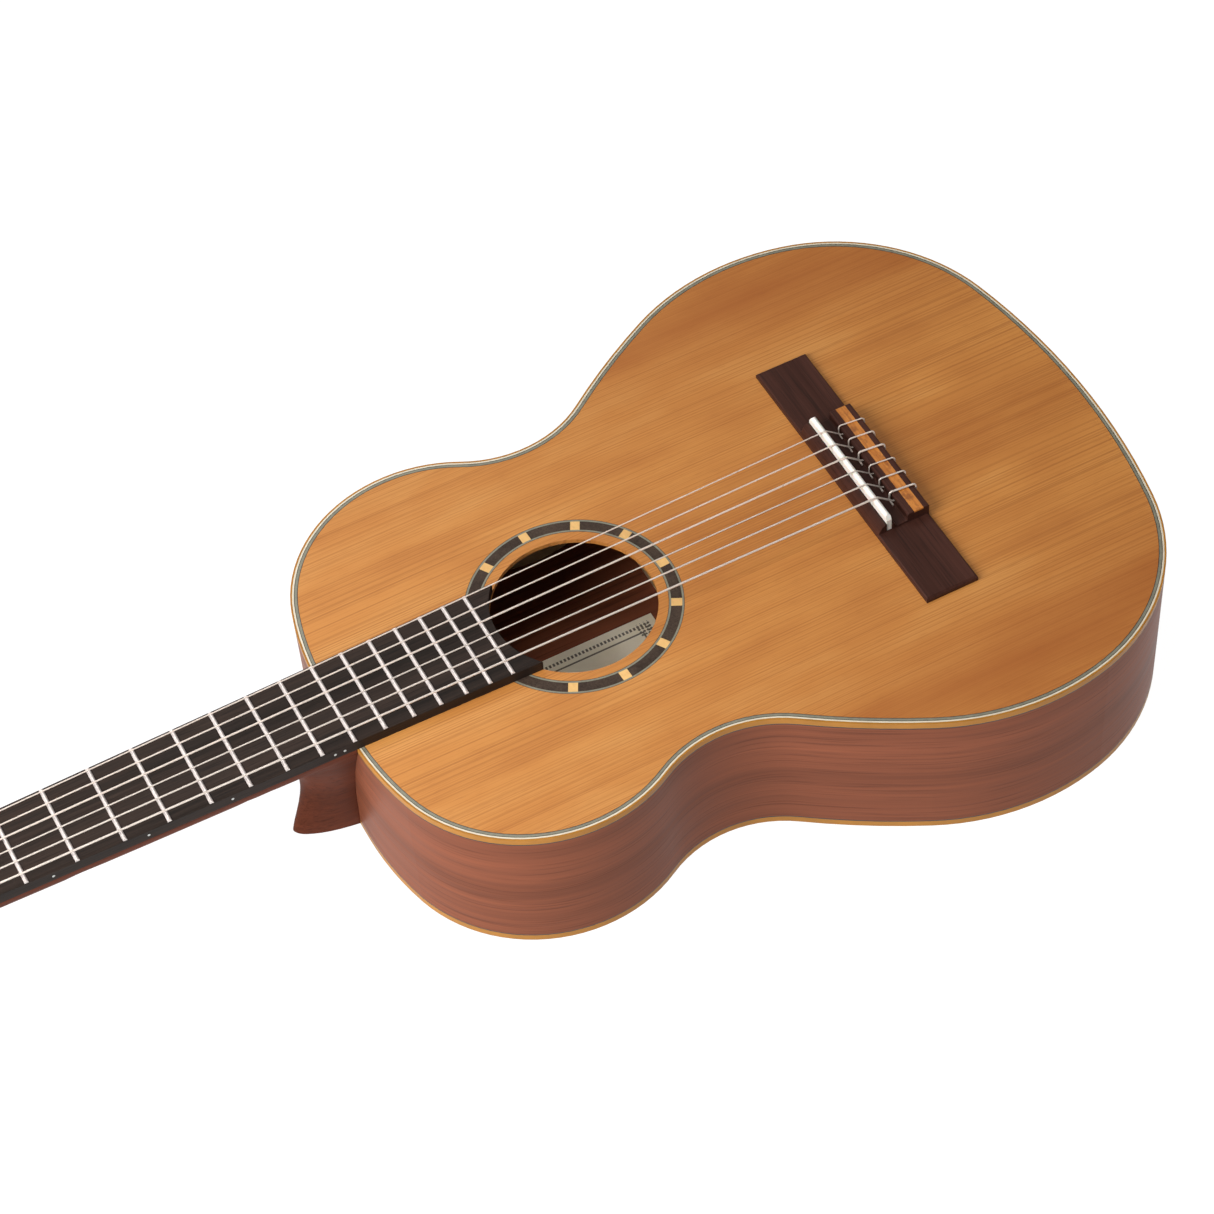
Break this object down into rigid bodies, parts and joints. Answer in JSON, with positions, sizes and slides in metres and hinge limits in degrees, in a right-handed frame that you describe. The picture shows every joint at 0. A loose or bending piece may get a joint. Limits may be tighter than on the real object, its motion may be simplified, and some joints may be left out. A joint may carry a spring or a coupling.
{
  "type": "classical guitar",
  "caption": "Small flat-backed classical guitar with a waisted body, round soundhole with a ring of squares, tie bridge, fretted neck and slotted head with worm-geared tuning machines.",
  "frame": {"origin": "on the back's outer face, on the centre line, in the middle of the body's length", "axes": "+X along the centre line from the head to the tail, +Y to the treble side, +Z out of the soundboard"},
  "size_m": [0.8933, 0.3398, 0.1031],
  "materials": {
    "cedar_top": "satin",
    "mahogany": "satin",
    "neck_wood": "satin",
    "pale_wood": "matt",
    "dark_board": "satin",
    "rosewood": "satin",
    "honey_binding": "gloss",
    "dark_line": "satin",
    "pale_line": "satin",
    "rosette_dark": "satin",
    "maple": "satin",
    "orange_inlay": "satin",
    "bone": "polished",
    "fret_metal": "polished",
    "plated_metal": "polished",
    "gear_brass": "satin",
    "button_plastic": "pearl gloss",
    "clear_nylon": "clear gloss",
    "wound_metal": "fine ribbed",
    "dot_white": "gloss",
    "paper": "matt paper"
  },
  "bodies": {
    "guitar": {"soundboard": "cedar_top", "back_plate": "mahogany", "side_bass": "mahogany", "side_treble": "mahogany", "top_binding": "honey_binding", "edge_line": "pale_line", "purfling_dark": "dark_line", "purfling_pale": "pale_line", "back_binding": "honey_binding", "neck_block": "pale_wood", "tail_block": "pale_wood", "linings": "pale_wood", "soundboard_braces": "pale_wood", "back_braces": "pale_wood", "label": "paper", "rosette_band": "rosette_dark", "rosette_squares": "maple", "rosette_lines": "pale_line", "bridge": "rosewood", "saddle": "bone", "tie_block_inlay": "orange_inlay", "neck": "neck_wood", "head_veneer": "rosewood", "fingerboard": "dark_board", "frets": "fret_metal", "side_dots": "dot_white", "nut": "bone", "machine_plate_treble": "plated_metal", "machine_plate_bass": "plated_metal", "plate_screws": "plated_metal", "string_1": "clear_nylon", "string_2": "clear_nylon", "string_3": "clear_nylon", "string_4": "wound_metal", "string_5": "wound_metal", "string_6": "wound_metal"},
    "roller_1_turning": {"roller_1": "button_plastic", "gear_1": "gear_brass"},
    "tuner_1_turning": {"worm_1": "plated_metal", "button_1": "button_plastic"},
    "roller_2_turning": {"roller_2": "button_plastic", "gear_2": "gear_brass"},
    "tuner_2_turning": {"worm_2": "plated_metal", "button_2": "button_plastic"},
    "roller_3_turning": {"roller_3": "button_plastic", "gear_3": "gear_brass"},
    "tuner_3_turning": {"worm_3": "plated_metal", "button_3": "button_plastic"},
    "roller_4_turning": {"roller_4": "button_plastic", "gear_4": "gear_brass"},
    "tuner_4_turning": {"worm_4": "plated_metal", "button_4": "button_plastic"},
    "roller_5_turning": {"roller_5": "button_plastic", "gear_5": "gear_brass"},
    "tuner_5_turning": {"worm_5": "plated_metal", "button_5": "button_plastic"},
    "roller_6_turning": {"roller_6": "button_plastic", "gear_6": "gear_brass"},
    "tuner_6_turning": {"worm_6": "plated_metal", "button_6": "button_plastic"}
  },
  "joints": [
    {"name": "tuner_1_spin", "type": "hinge", "parent": "guitar", "child": "tuner_1_turning", "pos_m": [-0.54823, 0.0361, 0.06978], "axis": [-0.2588, 0, 0.9659], "continuous": true},
    {"name": "roller_1_spin", "type": "hinge", "parent": "guitar", "child": "roller_1_turning", "pos_m": [-0.55596, 0.0361, 0.06771], "axis": [0, 1, 0], "continuous": true},
    {"name": "tuner_2_spin", "type": "hinge", "parent": "guitar", "child": "tuner_2_turning", "pos_m": [-0.58204, 0.0361, 0.06072], "axis": [-0.2588, 0, 0.9659], "continuous": true},
    {"name": "roller_2_spin", "type": "hinge", "parent": "guitar", "child": "roller_2_turning", "pos_m": [-0.58976, 0.0361, 0.05865], "axis": [0, 1, 0], "continuous": true},
    {"name": "tuner_3_spin", "type": "hinge", "parent": "guitar", "child": "tuner_3_turning", "pos_m": [-0.61584, 0.0361, 0.05167], "axis": [-0.2588, 0, 0.9659], "continuous": true},
    {"name": "roller_3_spin", "type": "hinge", "parent": "guitar", "child": "roller_3_turning", "pos_m": [-0.62357, 0.0361, 0.04959], "axis": [0, 1, 0], "continuous": true},
    {"name": "tuner_4_spin", "type": "hinge", "parent": "guitar", "child": "tuner_4_turning", "pos_m": [-0.61584, -0.0361, 0.05167], "axis": [-0.2588, 0, 0.9659], "continuous": true},
    {"name": "roller_4_spin", "type": "hinge", "parent": "guitar", "child": "roller_4_turning", "pos_m": [-0.62357, -0.0361, 0.04959], "axis": [0, 1, 0], "continuous": true},
    {"name": "tuner_5_spin", "type": "hinge", "parent": "guitar", "child": "tuner_5_turning", "pos_m": [-0.58204, -0.0361, 0.06072], "axis": [-0.2588, 0, 0.9659], "continuous": true},
    {"name": "roller_5_spin", "type": "hinge", "parent": "guitar", "child": "roller_5_turning", "pos_m": [-0.58976, -0.0361, 0.05865], "axis": [0, 1, 0], "continuous": true},
    {"name": "tuner_6_spin", "type": "hinge", "parent": "guitar", "child": "tuner_6_turning", "pos_m": [-0.54823, -0.0361, 0.06978], "axis": [-0.2588, 0, 0.9659], "continuous": true},
    {"name": "roller_6_spin", "type": "hinge", "parent": "guitar", "child": "roller_6_turning", "pos_m": [-0.55596, -0.0361, 0.06771], "axis": [0, 1, 0], "continuous": true}
  ],
  "couplings": [
    {"joint": "roller_1_spin", "follows": "tuner_1_spin", "ratio": 0.071429},
    {"joint": "roller_2_spin", "follows": "tuner_2_spin", "ratio": 0.071429},
    {"joint": "roller_3_spin", "follows": "tuner_3_spin", "ratio": 0.071429},
    {"joint": "roller_4_spin", "follows": "tuner_4_spin", "ratio": 0.071429},
    {"joint": "roller_5_spin", "follows": "tuner_5_spin", "ratio": 0.071429},
    {"joint": "roller_6_spin", "follows": "tuner_6_spin", "ratio": 0.071429}
  ]
}
